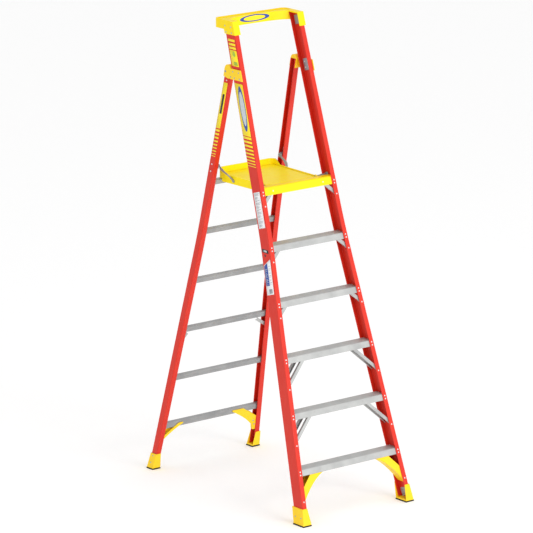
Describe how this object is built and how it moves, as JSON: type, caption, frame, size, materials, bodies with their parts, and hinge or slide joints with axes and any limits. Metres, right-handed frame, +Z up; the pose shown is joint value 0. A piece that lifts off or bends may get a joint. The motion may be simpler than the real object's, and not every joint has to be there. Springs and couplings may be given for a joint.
{
  "type": "platform step ladder",
  "caption": "Folding fibreglass step ladder with ribbed treads, a hinged standing platform, a top cap and a braced rear frame.",
  "frame": {"origin": "on the floor, at the middle of the footprint", "axes": "+Z up, -Y towards the climbing side, X across the ladder"},
  "size_m": [0.786, 1.416, 2.642],
  "materials": {
    "fibreglass": "satin pultruded fibreglass",
    "yellow_plastic": "semi-gloss moulded plastic",
    "aluminium": "mill-finish extrusion",
    "steel": "zinc plated",
    "rubber": "matt"
  },
  "bodies": {
    "front_section": {"front_rail_right": "fibreglass", "front_rail_left": "fibreglass", "step_1": "aluminium", "step_2": "aluminium", "step_3": "aluminium", "step_4": "aluminium", "step_5": "aluminium", "step_2_front_brace_right": "aluminium", "step_2_front_brace_left": "aluminium", "step_2_rear_brace_right": "aluminium", "step_2_rear_brace_left": "aluminium", "step_3_front_brace_right": "aluminium", "step_3_front_brace_left": "aluminium", "step_3_rear_brace_right": "aluminium", "step_3_rear_brace_left": "aluminium", "step_4_brace_right": "aluminium", "step_4_brace_left": "aluminium", "step_5_brace_right": "aluminium", "step_5_brace_left": "aluminium", "step_1_gusset_right": "yellow_plastic", "step_1_gusset_left": "yellow_plastic", "platform_brace_right": "aluminium", "platform_brace_left": "aluminium", "deck_pivot_bracket_right": "steel", "deck_pivot_bracket_left": "steel", "deck_pivot_pin_right": "steel", "deck_pivot_pin_left": "steel", "hinge_plate_right": "yellow_plastic", "hinge_plate_left": "yellow_plastic", "hinge_pin_right": "steel", "hinge_pin_left": "steel", "front_foot_right": "yellow_plastic", "front_foot_left": "yellow_plastic", "front_pad_right": "rubber", "front_pad_left": "rubber", "platform_front_step": "yellow_plastic", "top_cap": "yellow_plastic"},
    "rear_section": {"rear_bar_1": "aluminium", "rear_bar_2": "aluminium", "rear_bar_3": "aluminium", "rear_bar_4": "aluminium", "rear_bar_5": "aluminium", "platform_rear_bar": "aluminium", "rear_rail_right": "fibreglass", "rear_rail_left": "fibreglass", "latch_bracket_right": "steel", "latch_bracket_left": "steel", "rear_gusset_right": "yellow_plastic", "rear_gusset_left": "yellow_plastic", "rear_bar_3_brace_right": "aluminium", "rear_bar_3_brace_left": "aluminium", "hinge_cap_right": "yellow_plastic", "hinge_cap_left": "yellow_plastic", "rear_foot_right": "yellow_plastic", "rear_foot_left": "yellow_plastic", "rear_pad_right": "rubber", "rear_pad_left": "rubber"},
    "deck": {"folding_deck": "yellow_plastic", "deck_latch_right": "steel", "deck_latch_left": "steel"}
  },
  "joints": [
    {"name": "rear_fold", "type": "hinge", "parent": "front_section", "child": "rear_section", "pos_m": [0, 0.09879, 2.33778], "axis": [-1, 0, 0], "range_deg": [0, 29.7]},
    {"name": "platform_fold", "type": "hinge", "parent": "front_section", "child": "deck", "pos_m": [0, -0.103, 1.76], "axis": [1, 0, 0], "range_deg": [0, 73]}
  ],
  "couplings": [
    {"joint": "platform_fold", "follows": "rear_fold", "ratio": 2.45}
  ]
}
